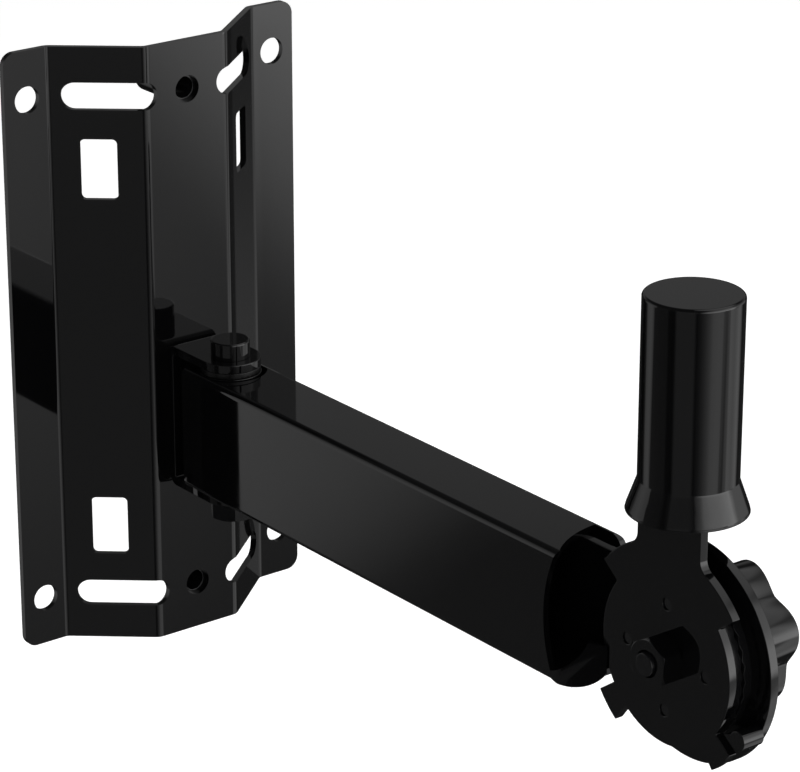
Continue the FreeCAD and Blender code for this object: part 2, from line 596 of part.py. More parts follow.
# Toothed rings: tapered radial teeth on one face, four pegs that key them into their
# plates on the other.
def toothedRing(name):
    ring = makeBody(name)
    flat = sketchOn(ring, name + "_outline", "XY_Plane")
    circle(flat, "#ringRadius")
    circle(flat, "#ringBore")
    pad(ring, name + "_disc", flat, "#ringThick")
    notches = []
    for tag, radius in (("inner", "#toothInner"), ("outer", "#ringRadius + 1")):
        notch = sketchOn(ring, name + "_notch_" + tag, "YZ_Plane", radius)
        halfGap = "#toothLand * 180 / #toothCount * (" + radius + ") * pi / 180"
        depth = "#toothDepth * (" + radius + ") / #ringRadius"
        polygon(notch, [("-(" + halfGap + ")", "#ringThick"), ("0", "#ringThick - " + depth),
                        (halfGap, "#ringThick")])
        notches.append(notch)
    groove = ring.newObject("PartDesign::SubtractiveLoft", name + "_groove")
    groove.Profile = notches[0]
    groove.Sections = [notches[1]]
    polar(ring, name + "_teeth", [groove], "#toothCount")
    peg = sketchOn(ring, name + "_peg_outline", "XY_Plane")
    for x, y in pegPlaces:
        circle(peg, "#pegRadius", x, y)
    pegs = pad(ring, name + "_pegs", peg, "#sidePlate - #pegSink")
    pegs.Reversed = True
    ring.Tip = pegs
    return ring


sideRing = along(toothedRing("tilt_tooth_ring"), "X")
pieces.append(place(sideRing, leftX, "-#tiltReach", "-#armDrop"))
armRing = toothedRing("arm_tooth_ring")
armRing.Placement.Rotation = FreeCAD.Rotation(FreeCAD.Vector(0, 1, 0), -90)
pieces.append(place(armRing, discX, "-#tiltReach", "-#armDrop"))

# Stop pin on the arm disc, in the way of the tabs and the crown of the tilt plate.
pinY = "-#tiltReach - #pinCircle * cos(#pinAngle * 1deg)"
pinZ = "-#armDrop - #pinCircle * sin(#pinAngle * 1deg)"
pin = rod("stop_pin", "#pinRadius", "#pinLength", discX + " - #pinLength", pinY, pinZ, "X")
pieces.append(pin)

# Spigot: a closed tube with a flared foot, slit for the neck of the tilt plate.
wallIn = "(#spigotRadius - #spigotWall)"
flareIn = "(#flareRadius - #spigotWall)"
flareLow = "(#footHeight + #footRim)"
flareStart = "(" + flareLow + " + #flareRise)"
spigotBody, spigotTurn = turned("spigot_shell", [
    ("0", "#spigotTop"), ("#spigotRadius", "#spigotTop"), ("#spigotRadius", flareStart),
    ("#flareRadius", flareLow), ("#flareRadius", "#footHeight"), ("#footRadius", "#footHeight"),
    ("#footRadius", "#footHeight + #spigotWall"), (flareIn, "#footHeight + #spigotWall"),
    (flareIn, flareLow), (wallIn, flareStart), (wallIn, "#spigotTop - #spigotWall"),
    ("0", "#spigotTop - #spigotWall"),
])


def ringEdge(edge, radius, height):
    full = len(edge.Vertexes) == 1 and abs(edge.Length - 2 * math.pi * radius) < 0.01
    return full and abs(edge.CenterOfMass.z - height) < 0.01


def topRim(edge):
    return ringEdge(edge, size("spigotRadius"), size("spigotTop"))


def flareRims(edge):
    return (ringEdge(edge, size("spigotRadius"), number(flareStart))
            or ringEdge(edge, size("flareRadius"), number(flareLow)))


def footRim(edge):
    return ringEdge(edge, size("flareRadius"), size("footHeight"))


soft = dress(spigotBody, "Fillet", "top_round", spigotTurn, topRim, "#topRound")
soft = dress(spigotBody, "Fillet", "flare_softening", soft, flareRims, "#flareSoft")
spigotBody.Tip = dress(spigotBody, "Fillet", "foot_round", soft, footRim, "#footRound")
place(spigotBody, "#spigotX", "-#tiltReach", "-#armDrop")
neckSlit = box("neck_slit", "#sidePlate", "2 * #neckHalf", neckTop, "-#sidePlateX", "-#tiltReach - #neckHalf",
               "-#armDrop")
pieces.append(pair("Cut", "spigot", spigotBody, neckSlit))

# Long nut welded to the tilt plate, and the knob bolt that screws into it.
tiltNut = along(hexNut("tilt_nut", "#nutAcross", "#tiltNutLength", "#boltRadius + #fitClear"), "X")
pieces.append(place(tiltNut, "-#sidePlateX - #tiltNutLength", "-#tiltReach", "-#armDrop"))
discOut = "(" + discX + " + #discThick)"
washerX = "(" + discOut + " + #endClear)"
knobX = "(" + washerX + " + #washerThick)"
boltStart = "(-#sidePlateX - #tiltNutLength + #boltEndSink)"
boltLong = "(" + knobX + " - " + boltStart + " + #boltInKnob)"
knobBolt, knobBoltTurn = turned("knob_bolt", [
    ("0", "0"), ("#boltRadius - #boltBevel", "0"), ("#boltRadius", "#boltBevel"), ("#boltRadius", boltLong),
    ("0", boltLong),
])
pieces.append(place(along(knobBolt, "X"), boltStart, "-#tiltReach", "-#armDrop"))
washer = pair("Cut", "knob_washer", rod("washer_disc", "#washerRadius", "#washerThick"),
              rod("washer_bore", "#boltRadius", "#washerThick"))
pieces.append(place(along(washer, "X"), washerX, "-#tiltReach", "-#armDrop"))

# Star knob: a scalloped head with soft edges on a low hub.
knob = makeBody("star_knob")
headLow = "#hubHeight"
headSketch = sketchOn(knob, "knob_outline", "XY_Plane", headLow)
circle(headSketch, "#knobRadius")
pad(knob, "knob_head", headSketch, "#knobThick")
scoop = sketchOn(knob, "scoop_outline", "XY_Plane", headLow)
# the bolt's end of the knob faces the joint, so angles run from straight down in local X
scoopTurn = "((-90 - #lobeAngle - 180 / #lobeCount) * 1deg)"
circle(scoop, "#scoopRadius", "#scoopCircle * cos" + scoopTurn, "#scoopCircle * sin" + scoopTurn)
scoopCut = pocket(knob, "scoop_cut", scoop)
scoops = polar(knob, "scoops", [scoopCut], "#lobeCount")


def lobeEdge(edge):
    return straight(edge, 2)


lobes = dress(knob, "Fillet", "lobe_rounds", scoops, lobeEdge, "#lobeRound")


def knobRim(edge):
    centre = edge.CenterOfMass
    level = min(abs(centre.z - size("hubHeight")), abs(centre.z - size("hubHeight") - size("knobThick")))
    return level < 0.01


rims = dress(knob, "Fillet", "knob_rounds", lobes, knobRim, "#knobRound")
hub = sketchOn(knob, "hub_outline", "XY_Plane")
circle(hub, "#hubRadius")
pad(knob, "knob_hub", hub, "#hubHeight + 1")
capSketch = sketchOn(knob, "cap_outline", "XY_Plane", "#hubHeight + #knobThick")
circle(capSketch, "#capRadius")
pocket(knob, "cap_recess", capSketch, "2 * #capSink")
boreSketch = sketchOn(knob, "bolt_bore_outline", "XY_Plane")
circle(boreSketch, "#boltRadius")
knob.Tip = pocket(knob, "bolt_bore", boreSketch, "2 * #boltInKnob")
pieces.append(place(along(knob, "X"), knobX, "-#tiltReach", "-#armDrop"))

doc.recompute()
for item in doc.Objects:
    if "Invalid" in item.State or "Error" in item.State:
        raise RuntimeError("failed object " + item.Name + " " + str(item.State))
for item in pieces:
    shape = item.Shape
    if shape.isNull() or not shape.isValid():
        raise RuntimeError("bad shape " + item.Name)
    bounds = shape.BoundBox
    spread = [round(v, 2) for v in (bounds.XMin, bounds.XMax, bounds.YMin, bounds.YMax, bounds.ZMin, bounds.ZMax)]
    print(item.Label, len(shape.Solids), round(shape.Volume, 1), spread)
    shape.exportStep("parts/" + item.Label + ".step")
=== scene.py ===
import bpy
import json
import math
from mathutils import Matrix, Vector


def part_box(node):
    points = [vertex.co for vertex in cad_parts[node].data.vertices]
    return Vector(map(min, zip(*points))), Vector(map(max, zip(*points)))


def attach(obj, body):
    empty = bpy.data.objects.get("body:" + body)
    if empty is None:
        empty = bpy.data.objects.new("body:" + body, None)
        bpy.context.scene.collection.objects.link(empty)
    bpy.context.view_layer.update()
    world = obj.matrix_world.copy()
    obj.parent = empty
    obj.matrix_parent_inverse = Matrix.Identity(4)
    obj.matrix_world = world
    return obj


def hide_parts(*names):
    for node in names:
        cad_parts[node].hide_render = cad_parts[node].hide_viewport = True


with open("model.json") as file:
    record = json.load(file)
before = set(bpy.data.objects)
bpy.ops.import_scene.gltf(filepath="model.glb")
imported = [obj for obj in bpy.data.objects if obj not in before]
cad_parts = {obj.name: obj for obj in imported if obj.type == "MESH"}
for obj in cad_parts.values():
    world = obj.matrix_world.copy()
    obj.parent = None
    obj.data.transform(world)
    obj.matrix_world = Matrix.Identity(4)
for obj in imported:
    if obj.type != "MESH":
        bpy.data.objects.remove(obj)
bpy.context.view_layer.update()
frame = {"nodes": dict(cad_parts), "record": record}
nodes = frame["nodes"]
bodies = frame["record"]["behaviour"]["bodies"]
bodyOf = {node: body for body, members in bodies.items() for node in members}
mm = 0.001

# Camera at the photograph's viewing angle: place in metres, angles in degrees, lens and sensor in mm.
cameraSetup = {
    "place": (-0.7600, -1.1468, 0.4950), "azimuth": 37.68, "drop": 20.834, "roll": -0.02,
    "lens": 161.37, "sensor": 36, "clipStart": 0.01,
}


def makeCamera(setup):
    data = bpy.data.cameras.new("camera")
    data.lens = setup["lens"]
    data.sensor_fit = "HORIZONTAL"
    data.sensor_width = setup["sensor"]
    data.clip_start = setup["clipStart"]
    camera = bpy.data.objects.new("camera", data)
    bpy.context.scene.collection.objects.link(camera)
    camera.location = setup["place"]
    turn = (math.radians(90 - setup["drop"]), math.radians(setup["roll"]), -math.radians(setup["azimuth"]))
    camera.rotation_euler = turn
    bpy.context.scene.camera = camera


makeCamera(cameraSetup)
bpy.context.scene.view_settings.view_transform = "Standard"
print("camera set")


# Small helpers for node trees
def addNode(tree, kind, **settings):
    node = tree.nodes.new(kind)
    for name, value in settings.items():
        setattr(node, name, value)
    return node


def mathNode(tree, operation, first, second=None, third=None):
    node = addNode(tree, "ShaderNodeMath", operation=operation)
    for index, value in enumerate((first, second, third)):
        if value is None:
            continue
        if isinstance(value, (int, float)):
            node.inputs[index].default_value = value
        else:
            tree.links.new(value, node.inputs[index])
    return node.outputs[0]


def rampNode(tree, factor, stops):
    ramp = addNode(tree, "ShaderNodeValToRGB")
    elements = ramp.color_ramp.elements
    while len(elements) < len(stops):
        elements.new(0.5)
    for element, (place, value) in zip(elements, stops):
        element.position = place
        colour = (value, value, value) if isinstance(value, (int, float)) else value
        element.color = (*colour, 1)
    tree.links.new(factor, ramp.inputs["Fac"])
    return ramp.outputs["Color"]


# a ramp whose stops are in the value's own units
def scaledRamp(tree, value, stops):
    low, high = stops[0][0], stops[-1][0]
    place = mathNode(tree, "DIVIDE", mathNode(tree, "SUBTRACT", value, low), high - low)
    return rampNode(tree, place, [((at - low) / (high - low), level) for at, level in stops])


def smoothNode(tree, value, limits):
    node = addNode(tree, "ShaderNodeMapRange", clamp=True, interpolation_type="SMOOTHSTEP")
    tree.links.new(value, node.inputs["Value"])
    node.inputs["From Min"].default_value, node.inputs["From Max"].default_value = limits
    return node.outputs[0]


# 1 between the middle two limits, 0 outside the outer two
def windowNode(tree, value, limits):
    rise = smoothNode(tree, value, limits[:2])
    fall = smoothNode(tree, value, limits[2:])
    return mathNode(tree, "MULTIPLY", rise, mathNode(tree, "SUBTRACT", 1, fall))


def blendNode(tree, first, second, share):
    keep = mathNode(tree, "MULTIPLY", first, mathNode(tree, "SUBTRACT", 1, share))
    return mathNode(tree, "MULTIPLY_ADD", second, share, keep)


# Studio: a dim room with one soft box at the left and two wide ones at the right, for the paint to mirror.
# Angles are in degrees: around is 0 towards the camera and negative at its left, height is above the
# horizon. A list of pairs gives the level at each angle.
studio = {
    # what a level, slightly sunk look around the room meets
    "around": [(-180, 0.02), (-134, 0.02), (-128, 0.05), (-122, 0.36), (-115, 0.48), (-110, 0.56),
               (-92, 0.56), (-90, 0.095), (-63, 0.09), (-58, 0.03), (-46, 0.02), (-43, 0.09), (-39, 0.20),
               (-2, 0.195), (4, 0.035), (13, 0.11), (22, 0.265), (32, 0.545), (41, 0.88), (54, 0.95),
               (62, 0.89), (74, 0.63), (81, 0.57), (86, 1.05), (93, 0.90), (100, 0.72), (115, 0.75),
               (121, 0.52), (129, 0.04), (180, 0.018)],
    # the same round near the horizon, where the right box is brightest
    "aroundHigh": [(-180, 0.02), (-134, 0.02), (-122, 0.40), (-110, 0.60), (-92, 0.60), (-90, 0.11),
                   (-60, 0.10), (-50, 0.03), (-43, 0.10), (-39, 0.23), (-2, 0.23), (8, 0.10), (16, 0.90),
                   (26, 2.0), (40, 2.6), (88, 2.7), (100, 1.0), (120, 0.60), (135, 0.35), (141, 0.03),
                   (180, 0.02)],
    # the left box's slanting lower edge, and the angle around up to which it cuts the walls' level
    "leftSlope": 1.5, "leftLevel": 22.9, "leftEnd": -88,
    "leftEdge": [(102.2, 0.095), (103.2, 0.14), (104.2, 0.25), (105.2, 0.35), (106.2, 0.42), (107.2, 0.465),
                 (112, 0.58)],
    # the right box's dim apron, which the plate's front faces mirror: by height, and by angle around
    "apronBand": (63, 67, 75, 79),
    "apron": [(-26, 0.24), (-24.4, 0.285), (-23.2, 0.35), (-21.7, 0.43), (-18.2, 0.58), (-16, 0.66),
              (-10, 0.70)],
    "apronSide": [(69, 1.0), (72, 0.80), (73.3, 0.66), (76, 0.60)],
    # the right box's lower edge, which slants across the apron, and how its light falls off upwards
    "boxSlope": 1.15, "boxPivot": 72, "boxSlant": (69, 73.5),
    "boxEdge": [(-18.5, 0.0), (-17.8, 0.04), (-17.2, 0.11), (-16.7, 0.18), (-15.6, 0.36), (-14.6, 0.50),
                (-13, 0.75), (-10, 1.0)],
    "boxFall": [(4, 1.0), (20, 0.58), (48, 0.45)],
    # a dim gap beside the right box, which the plate's right web mirrors by way of the flange
    "gapSide": (93, 98, 106, 112), "gapHeight": (-20, -15, -12, -4), "gapDepth": 0.6,
    # where the walls end, the left box's and the right boxes' taller parts, and what is above them
    "wallTop": (6, 14), "leftTop": (18, 28), "leftSide": (-140, -130, 8, 30),
    "boxTop": (36, 46), "boxSide": (8, 30, 120, 140),
    "ceiling": [(14, 0.21), (19.3, 0.204), (22.3, 0.178), (30, 0.06), (60, 0.05)],
    "overhead": 0.75, "overheadSide": (40, 60, 160, 175),
}


# the angles of a look: around from the camera's side, and height
def lookAngles(tree, azimuth):
    coordinate = addNode(tree, "ShaderNodeTexCoord")
    spin = addNode(tree, "ShaderNodeMapping")
    spin.inputs["Rotation"].default_value = (0, 0, math.radians(90 + azimuth))
    tree.links.new(coordinate.outputs["Generated"], spin.inputs["Vector"])
    split = addNode(tree, "ShaderNodeSeparateXYZ")
    tree.links.new(spin.outputs["Vector"], split.inputs["Vector"])
    degree = 180 / math.pi
    around = mathNode(tree, "ARCTAN2", split.outputs["Y"], split.outputs["X"])
    height = mathNode(tree, "ARCSINE", split.outputs["Z"])
    return mathNode(tree, "MULTIPLY", around, degree), mathNode(tree, "MULTIPLY", height, degree)


def leftBox(tree, walls, around, height, values):
    lift = mathNode(tree, "ADD", height, values["leftLevel"])
    lift = mathNode(tree, "MULTIPLY", lift, values["leftSlope"])
    slant = scaledRamp(tree, mathNode(tree, "SUBTRACT", lift, around), values["leftEdge"])
    cut = mathNode(tree, "MINIMUM", walls, slant)
    return blendNode(tree, cut, walls, mathNode(tree, "GREATER_THAN", around, values["leftEnd"]))


def rightBoxes(tree, walls, around, height, values):
    band = windowNode(tree, around, values["apronBand"])
    apron = mathNode(tree, "MULTIPLY", scaledRamp(tree, height, values["apron"]),
                     scaledRamp(tree, around, values["apronSide"]))
    walls = blendNode(tree, walls, apron, band)
    first, last = values["boxSlant"]
    within = mathNode(tree, "MINIMUM", mathNode(tree, "MAXIMUM", around, first), last)
    shift = mathNode(tree, "SUBTRACT", within, values["boxPivot"])
    shift = mathNode(tree, "MULTIPLY", mathNode(tree, "MULTIPLY", shift, values["boxSlope"]), band)
    share = scaledRamp(tree, mathNode(tree, "ADD", height, shift), values["boxEdge"])
    bright = mathNode(tree, "MULTIPLY", scaledRamp(tree, around, values["aroundHigh"]),
                      scaledRamp(tree, height, values["boxFall"]))
    walls = blendNode(tree, walls, bright, share)
    gap = mathNode(tree, "MULTIPLY", windowNode(tree, around, values["gapSide"]),
                   windowNode(tree, height, values["gapHeight"]))
    return mathNode(tree, "MULTIPLY", walls, mathNode(tree, "MULTIPLY_ADD", gap, -values["gapDepth"], 1))


# an even ceiling with a dim box overhead, above walls that are taller at the boxes
def aboveWalls(tree, walls, around, height, values):
    boxTop = smoothNode(tree, height, values["boxTop"])
    overhead = windowNode(tree, around, values["overheadSide"])
    overhead = mathNode(tree, "MULTIPLY", mathNode(tree, "MULTIPLY", overhead, values["overhead"]), boxTop)
    ceiling = mathNode(tree, "ADD", scaledRamp(tree, height, values["ceiling"]), overhead)
    wallTop = smoothNode(tree, height, values["wallTop"])
    leftTop = smoothNode(tree, height, values["leftTop"])
    share = blendNode(tree, wallTop, leftTop, windowNode(tree, around, values["leftSide"]))
    share = blendNode(tree, share, boxTop, windowNode(tree, around, values["boxSide"]))
    return blendNode(tree, walls, ceiling, share)


def makeWorld(values, azimuth):
    world = bpy.data.worlds.new("studio")
    bpy.context.scene.world = world
    world.use_nodes = True
    tree = world.node_tree
    tree.nodes.clear()
    around, height = lookAngles(tree, azimuth)
    level = scaledRamp(tree, around, values["around"])
    for part in (leftBox, rightBoxes, aboveWalls):
        level = part(tree, level, around, height, values)
    # the camera itself sees plain white behind the object
    path = addNode(tree, "ShaderNodeLightPath")
    seen = blendNode(tree, level, 1.0, path.outputs["Is Camera Ray"])
    background = addNode(tree, "ShaderNodeBackground")
    tree.links.new(seen, background.inputs["Color"])
    output = addNode(tree, "ShaderNodeOutputWorld")
    tree.links.new(background.outputs[0], output.inputs["Surface"])


makeWorld(studio, cameraSetup["azimuth"])

# Square lamps, in metres and watts, all aimed at the middle of the bracket
lamps = {
    "lampAbove": {"place": (-0.2, -0.4, 1.8), "size": 1.6, "power": 14},
    "lampFront": {"place": (-1.2, -1.5, 0.9), "size": 1.2, "power": 16},
    "lampRight": {"place": (1.5, -0.8, 0.6), "size": 1.2, "power": 10},
}
lampTarget = (0, -0.17, 0)


def makeLamp(name, values, target):
    data = bpy.data.lights.new(name, "AREA")
    data.shape = "SQUARE"
    data.size = values["size"]
    data.energy = values["power"]
    lamp = bpy.data.objects.new(name, data)
    bpy.context.scene.collection.objects.link(lamp)
    lamp.location = values["place"]
    aim = Vector(values["place"]) - Vector(target)
    lamp.rotation_euler = aim.to_track_quat("Z", "Y").to_euler()
    lamp.visible_glossy = False


for name, values in lamps.items():
    makeLamp(name, values, lampTarget)

# Pale floor, well below the bracket. The lift lets the camera see it as white.
floorSetup = {"level": -0.42, "radius": 6.0, "points": 96, "tone": 0.86, "cameraLift": 0.60}


def makeFloor(values):
    bpy.ops.object.select_all(action="DESELECT")
    bpy.ops.mesh.primitive_circle_add(vertices=values["points"], radius=values["radius"], fill_type="NGON",
                                      location=(0, 0, values["level"]))
    floor = bpy.context.object
    floor.name = "floor"
    material = bpy.data.materials.new("floorPaper")
    material.use_nodes = True
    tree = material.node_tree
    tree.nodes.clear()
    diffuse = addNode(tree, "ShaderNodeBsdfDiffuse")
    tone = values["tone"]
    diffuse.inputs["Color"].default_value = (tone, tone, tone, 1)
    glow = addNode(tree, "ShaderNodeEmission")
    path = addNode(tree, "ShaderNodeLightPath")
    lift = mathNode(tree, "MULTIPLY", path.outputs["Is Camera Ray"], values["cameraLift"])
    tree.links.new(lift, glow.inputs["Strength"])
    both = addNode(tree, "ShaderNodeAddShader")
    tree.links.new(diffuse.outputs[0], both.inputs[0])
    tree.links.new(glow.outputs[0], both.inputs[1])
    output = addNode(tree, "ShaderNodeOutputMaterial")
    tree.links.new(both.outputs[0], output.inputs["Surface"])
    floor.data.materials.append(material)
    floor.visible_glossy = False


makeFloor(floorSetup)
print("studio set")

# Finishes: near-black colour, gloss and relief, each with its own noise. Depths are in metres.
finishValues = {
    "blackPaint": {
        "colour": (0.0010, 0.0010, 0.0011), "cloudScale": 14, "cloudLift": 1.5, "roughness": (0.03, 0.06),
        "markScale": 40, "peelScale": 260, "peelStrength": 0.05, "peelDepth": 0.00002},
    "blackenedSteel": {
        "colour": (0.0016, 0.0016, 0.0018), "cloudScale": 90, "cloudLift": 1.8, "roughness": (0.09, 0.17),
        "markScale": 160, "peelScale": 900, "peelStrength": 0.15, "peelDepth": 0.00003},
    "castRing": {
        "colour": (0.0022, 0.0022, 0.0024), "cloudScale": 120, "cloudLift": 1.8, "roughness": (0.12, 0.22),
        "markScale": 200, "peelScale": 1200, "peelStrength": 0.2, "peelDepth": 0.00003},
    "blackNylon": {
        "colour": (0.0015, 0.0015, 0.0015), "cloudScale": 60, "cloudLift": 1.5, "roughness": (0.25, 0.4),
        "markScale": 300, "peelScale": 1500, "peelStrength": 0.2, "peelDepth": 0.00002},
    "mouldedKnob": {
        "colour": (0.0012, 0.0012, 0.0013), "cloudScale": 40, "cloudLift": 1.5, "roughness": (0.05, 0.10),
        "markScale": 120, "peelScale": 700, "peelStrength": 0.08, "peelDepth": 0.00002},
}
finishSetup = {"ior": 1.5, "cloudDetail": 3, "cloudRange": (0.3, 0.7),
               "markDetail": 6, "markRange": (0.35, 0.75), "peelDetail": 1}


def noiseNode(tree, coordinate, scale, detail):
    noise = addNode(tree, "ShaderNodeTexNoise")
    noise.inputs["Scale"].default_value = scale
    noise.inputs["Detail"].default_value = detail
    tree.links.new(coordinate.outputs["Object"], noise.inputs["Vector"])
    return noise.outputs["Fac"]


def glossFinish(name, values, setup):
    material = bpy.data.materials.new(name)
    material.use_nodes = True
    tree = material.node_tree
    shader = tree.nodes["Principled BSDF"]
    shader.inputs["IOR"].default_value = setup["ior"]
    coordinate = addNode(tree, "ShaderNodeTexCoord")
    # colour: a slow, faint change over the surface
    cloud = noiseNode(tree, coordinate, values["cloudScale"], setup["cloudDetail"])
    dark = values["colour"]
    light = tuple(channel * values["cloudLift"] for channel in dark)
    colour = rampNode(tree, cloud, list(zip(setup["cloudRange"], (dark, light))))
    tree.links.new(colour, shader.inputs["Base Color"])
    # gloss: fine handling marks make patches a touch duller
    marks = noiseNode(tree, coordinate, values["markScale"], setup["markDetail"])
    gloss = rampNode(tree, marks, list(zip(setup["markRange"], values["roughness"])))
    tree.links.new(gloss, shader.inputs["Roughness"])
    # relief: the slight orange peel of sprayed powder
    bump = addNode(tree, "ShaderNodeBump")
    bump.inputs["Strength"].default_value = values["peelStrength"]
    bump.inputs["Distance"].default_value = values["peelDepth"]
    peel = noiseNode(tree, coordinate, values["peelScale"], setup["peelDetail"])
    tree.links.new(peel, bump.inputs["Height"])
    tree.links.new(bump.outputs["Normal"], shader.inputs["Normal"])
    return material


finishes = {name: glossFinish(name, values, finishSetup) for name, values in finishValues.items()}
print("finishes made")


# Shapes that the render takes further than the solids. Sizes from here on are in millimetres.
def mix(first, second, share):
    return first + share * (second - first)


# the middle of the clamp's axle, as seen along it, in metres
def boltAxis():
    low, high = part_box("knob_bolt")
    return (low[1] + high[1]) / 2, (low[2] + high[2]) / 2


# how near to a face a point has to lie to be on it
faceReach = 0.05

# Wall plate: wider bends. The first three are the solid's own sizes.
sheetBends = {"thick": 2.5, "flangeWidth": 20.9, "faceBend": 18.3,
              "inside": 3.1, "outside": 5.6, "rows": 7, "layerReach": 0.2, "digits": 3}


# the sharp corners of both layers: how far across and out from the wall each one lies, which way its flat
# runs across, which way its web leaves, and the bend's radius
def bendCorners(values):
    low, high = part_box("wall_plate")
    depth = round(-low[1] / mm - values["thick"], values["digits"])
    flangeBend = round(high[0] / mm - values["flangeWidth"], values["digits"])
    webAngle = math.atan2(depth, flangeBend - values["faceBend"])
    shift = values["thick"] * math.tan(webAngle / 2)
    corners = {}
    for layer, offset, out in (("front", shift, values["thick"]), ("back", 0, 0)):
        faceSide, flangeSide = ("outside", "inside") if layer == "front" else ("inside", "outside")
        corners[layer] = [
            {"across": values["faceBend"] + offset, "out": -depth - out, "flatWay": -1, "webWay": 1,
             "radius": values[faceSide]},
            {"across": flangeBend + offset, "out": -out, "flatWay": 1, "webWay": -1,
             "radius": values[flangeSide]},
        ]
    return webAngle, corners


# where across the plate a bend starts, on its flat
def bendStart(corner, webAngle):
    return corner["across"] + corner["flatWay"] * corner["radius"] * math.tan(webAngle / 2)


def sharpOut(across, layerCorners):
    face, flange = layerCorners
    share = (across - face["across"]) / (flange["across"] - face["across"])
    return mix(face["out"], flange["out"], min(1, max(0, share)))


def bentOut(across, layerCorners, webAngle):
    for corner in layerCorners:
        radius = corner["radius"]
        travel = (bendStart(corner, webAngle) - across) * corner["flatWay"]
        if 0 < travel < radius * math.sin(webAngle):
            return corner["out"] + corner["webWay"] * (radius - math.sqrt(radius ** 2 - travel ** 2))
    return sharpOut(across, layerCorners)


def roundBends(piece):
    webAngle, corners = bendCorners(sheetBends)
    rows = sheetBends["rows"]
    bpy.ops.object.mode_set(mode="EDIT")
    for corner in corners["front"] + corners["back"]:
        for row in range(rows + 1):
            travel = corner["radius"] * math.sin(webAngle * row / rows)
            at = bendStart(corner, webAngle) - corner["flatWay"] * travel
            for side in (-1, 1):
                bpy.ops.mesh.select_all(action="SELECT")
                bpy.ops.mesh.bisect(plane_co=(side * at * mm, 0, 0), plane_no=(1, 0, 0))
    bpy.ops.object.mode_set(mode="OBJECT")
    for vertex in piece.data.vertices:
        across, out = abs(vertex.co.x) / mm, vertex.co.y / mm
        for layerCorners in (corners["front"], corners["back"]):
            if abs(out - sharpOut(across, layerCorners)) <= sheetBends["layerReach"]:
                vertex.co.y = bentOut(across, layerCorners, webAngle) * mm
                break


# Spigot: the foot flares right down to a narrow rolled lip.
# Each row is a height above the solid's foot, its new height, and how much wider the tube gets there.
footFlare = [(0, 5.2, 1.5), (2.2, 5.9, 0.55), (6.0, 6.6, 0.55), (14.5, 17.0, 0.0), (18.3, 18.8, 0.0)]


def flareFoot(piece):
    low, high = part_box("spigot")
    middleX, middleY = (low[0] + high[0]) / 2, (low[1] + high[1]) / 2
    for vertex in piece.data.vertices:
        height = (vertex.co.z - low[2]) / mm
        if height >= footFlare[-1][0]:
            continue
        under, over = next(pair for pair in zip(footFlare, footFlare[1:]) if height <= pair[1][0])
        share = (height - under[0]) / (over[0] - under[0])
        raised, wider = mix(under[1], over[1], share), mix(under[2], over[2], share)
        x, y = vertex.co.x - middleX, vertex.co.y - middleY
        scale = 1 + wider * mm / max(math.hypot(x, y), mm)
        vertex.co = (middleX + x * scale, middleY + y * scale, low[2] + raised * mm)


# Tilt plate: its neck reaches up into the raised foot.
# The pegs that key the toothed ring show as small sunk dots in it.
neckShape = {"rise": 3.6}
pegShape = {"circle": 20.0, "reach": 3.0, "scale": 0.78}


def raiseNeck(piece):
    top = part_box("tilt_plate")[1][2]
    for vertex in piece.data.vertices:
        if vertex.co.z > top - faceReach * mm:
            vertex.co.z += neckShape["rise"] * mm


def slimPegs(piece):
    axisY, axisZ = boltAxis()
    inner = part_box("tilt_plate")[1][0] + faceReach * mm
    circle, reach, scale = pegShape["circle"] * mm, pegShape["reach"] * mm, pegShape["scale"]
    for vertex in piece.data.vertices:
        if vertex.co.x > inner:
            continue
        for alongY, alongZ in ((0, 1), (0, -1), (1, 0), (-1, 0)):
            pegY, pegZ = axisY + alongY * circle, axisZ + alongZ * circle
            y, z = vertex.co.y - pegY, vertex.co.z - pegZ
            if math.hypot(y, z) < reach:
                vertex.co.y, vertex.co.z = pegY + y * scale, pegZ + z * scale


def shapeTiltPlate(piece):
    raiseNeck(piece)
    slimPegs(piece)


# Knob bolt: its tip stands out past the long nut.
boltTip = {"out": 2.4}


def pushBoltTip(piece):
    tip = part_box("knob_bolt")[0][0]
    for vertex in piece.data.vertices:
        if vertex.co.x < tip + faceReach * mm:
            vertex.co.x -= boltTip["out"] * mm


reshapes = {"wall_plate": roundBends, "spigot": flareFoot, "tilt_plate": shapeTiltPlate,
            "tilt_tooth_ring": slimPegs, "knob_bolt": pushBoltTip}


# Every piece but the star knob is the solid's own mesh with soft edges, reshaped where the render needs it.
# Angles are in degrees; an edge sharper than softAngle is rounded.
copySetup = {"mergeReach": 0.01, "flatAngle": 0.3, "softAngle": 32, "segments": 3,
             "evenWeight": 100, "evenReach": 0.02}


def softenEdges(piece, width, segments, angle):
    bevel = piece.modifiers.new("softEdges", "BEVEL")
    bevel.width = width * mm
    bevel.segments = segments
    bevel.limit_method = "ANGLE"
    bevel.angle_limit = math.radians(angle)
    bpy.ops.object.modifier_apply(modifier="softEdges")
    bpy.ops.object.shade_smooth_by_angle(angle=math.radians(angle))


# flat faces stay truly flat in a mirror finish
def evenNormals(piece, setup):
    even = piece.modifiers.new("evenNormals", "WEIGHTED_NORMAL")
    even.mode = "FACE_AREA"
    even.weight = setup["evenWeight"]
    even.thresh = setup["evenReach"]
    even.keep_sharp = True
    bpy.ops.object.modifier_apply(modifier="evenNormals")


